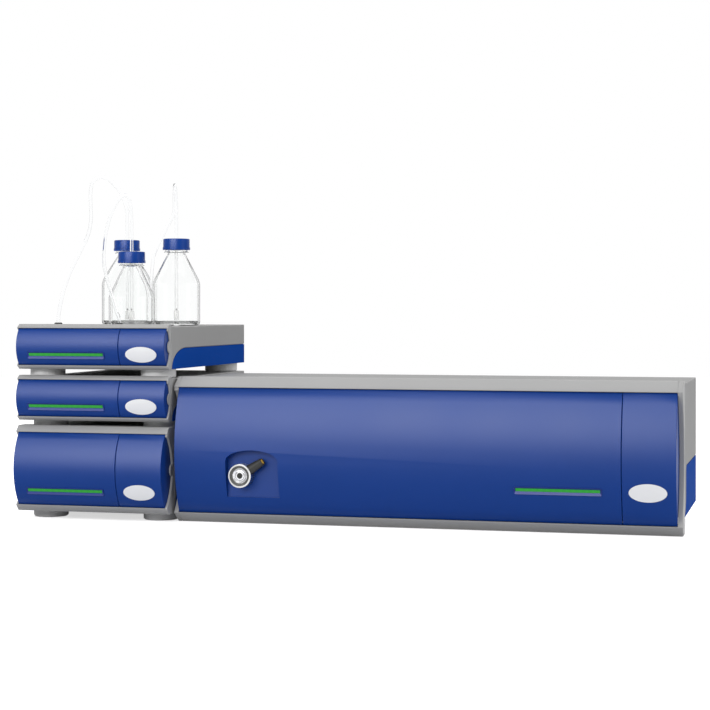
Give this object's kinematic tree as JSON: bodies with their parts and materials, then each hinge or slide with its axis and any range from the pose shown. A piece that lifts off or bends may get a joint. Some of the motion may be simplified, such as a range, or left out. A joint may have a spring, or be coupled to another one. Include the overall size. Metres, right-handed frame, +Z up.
{
  "type": "thermal field-flow fractionation system",
  "caption": "Thermal field-flow fractionation system: blue-fronted pump, degasser and solvent organizer stacked beside a wide channel unit.",
  "frame": {"origin": "on the bench, under the middle of the system's width and depth", "axes": "+X to the right along the fronts, +Y to the back, +Z up"},
  "size_m": [1.066, 0.4163, 0.5723],
  "materials": {
    "grey_paint": "satin",
    "grey_bezel": "satin",
    "panel_blue": "satin",
    "blue_side": "satin",
    "status_green": "gloss",
    "badge_white": "gloss",
    "port_polymer": "matte",
    "pump_steel": "brushed",
    "black_plastic": "matte",
    "valve_steel": "polished",
    "brass": "satin",
    "hot_copper": "satin",
    "cold_alloy": "satin",
    "spacer_film": "gloss",
    "clamp_steel": "brushed",
    "bottle_glass": "gloss",
    "cap_blue": "gloss",
    "tube_clear": "gloss",
    "grommet_rubber": "matte"
  },
  "bodies": {
    "frame": {"pump_hood": "grey_paint", "pump_base": "blue_side", "pump_bezel": "grey_bezel", "pump_status_light": "status_green", "degasser_hood": "grey_paint", "degasser_base": "blue_side", "degasser_bezel": "grey_bezel", "degasser_status_light": "status_green", "organizer_hood": "grey_paint", "organizer_base": "blue_side", "organizer_bezel": "grey_bezel", "organizer_status_light": "status_green", "channel_hood": "grey_paint", "channel_base": "blue_side", "channel_bezel": "grey_bezel", "channel_badge": "badge_white", "pump_front_panel": "panel_blue", "degasser_front_panel": "panel_blue", "organizer_front_panel": "panel_blue", "channel_end_panel": "panel_blue", "degasser_port_block": "port_polymer", "organizer_port_block": "port_polymer", "pump_head_lower": "pump_steel", "pump_head_upper": "pump_steel", "coolant_fittings": "brass", "channel_hot_block": "hot_copper", "channel_cold_block": "cold_alloy", "channel_spacer": "spacer_film", "clamp_bar_front": "clamp_steel", "clamp_bar_back": "clamp_steel", "heater_cartridges": "clamp_steel", "bottle_left": "bottle_glass", "tube_left": "tube_clear", "grommet_left": "grommet_rubber", "bottle_front": "bottle_glass", "tube_front": "tube_clear", "grommet_front": "grommet_rubber", "bottle_right": "bottle_glass", "tube_right": "tube_clear", "grommet_right": "grommet_rubber"},
    "pump_flap_body": {"pump_flap": "panel_blue", "pump_badge": "badge_white"},
    "degasser_flap_body": {"degasser_flap": "panel_blue", "degasser_badge": "badge_white"},
    "organizer_flap_body": {"organizer_flap": "panel_blue", "organizer_badge": "badge_white"},
    "door_body": {"channel_door": "panel_blue", "channel_status_light": "status_green", "valve_stator": "valve_steel"},
    "valve_rotor": {"valve_hub": "valve_steel", "valve_insert": "black_plastic", "valve_needle_port": "valve_steel", "valve_lever": "black_plastic", "valve_lever_tip": "brass"},
    "cap_left_body": {"cap_left": "cap_blue"},
    "cap_front_body": {"cap_front": "cap_blue"},
    "cap_right_body": {"cap_right": "cap_blue"},
    "purge_knob_body": {"pump_purge_knob": "black_plastic"},
    "pump_rocker_body": {"pump_power_switch": "black_plastic"},
    "channel_rocker_body": {"channel_power_switch": "black_plastic"}
  },
  "joints": [
    {"name": "pump_flap_hinge", "type": "hinge", "parent": "frame", "child": "pump_flap_body", "pos_m": [-0.3535, -0.18585, 0.1384], "axis": [-1, 0, 0], "range_deg": [0, 60]},
    {"name": "degasser_flap_hinge", "type": "hinge", "parent": "frame", "child": "degasser_flap_body", "pos_m": [-0.3535, -0.18225, 0.2236], "axis": [-1, 0, 0], "range_deg": [0, 60]},
    {"name": "organizer_flap_hinge", "type": "hinge", "parent": "frame", "child": "organizer_flap_body", "pos_m": [-0.3535, -0.18225, 0.3066], "axis": [-1, 0, 0], "range_deg": [0, 60]},
    {"name": "channel_door_hinge", "type": "hinge", "parent": "frame", "child": "door_body", "pos_m": [-0.269, -0.16355, 0.2121], "axis": [-1, 0, 0], "range_deg": [0, 80]},
    {"name": "valve_turn", "type": "hinge", "parent": "door_body", "child": "valve_rotor", "pos_m": [-0.151, -0.17305, 0.079], "axis": [0, 1, 0], "range_deg": [0, 60]},
    {"name": "cap_left_turn", "type": "hinge", "parent": "frame", "child": "cap_left_body", "pos_m": [-0.4556, 0.10005, 0.4428], "axis": [0, 0, 1], "range_deg": [0, 540]},
    {"name": "cap_front_turn", "type": "hinge", "parent": "frame", "child": "cap_front_body", "pos_m": [-0.3906, -0.04195, 0.4178], "axis": [0, 0, 1], "range_deg": [0, 540]},
    {"name": "cap_right_turn", "type": "hinge", "parent": "frame", "child": "cap_right_body", "pos_m": [-0.3306, 0.01205, 0.441], "axis": [0, 0, 1], "range_deg": [0, 540]},
    {"name": "purge_knob_turn", "type": "hinge", "parent": "frame", "child": "purge_knob_body", "pos_m": [-0.31325, -0.12405, 0.0829], "axis": [0, -1, 0], "range_deg": [0, 180]},
    {"name": "pump_rocker_tip", "type": "hinge", "parent": "frame", "child": "pump_rocker_body", "pos_m": [-0.425, 0.20405, 0.0546], "axis": [1, 0, 0], "range_deg": [0, 14]},
    {"name": "channel_rocker_tip", "type": "hinge", "parent": "frame", "child": "channel_rocker_body", "pos_m": [-0.161, 0.11895, 0.0663], "axis": [1, 0, 0], "range_deg": [0, 14]}
  ]
}
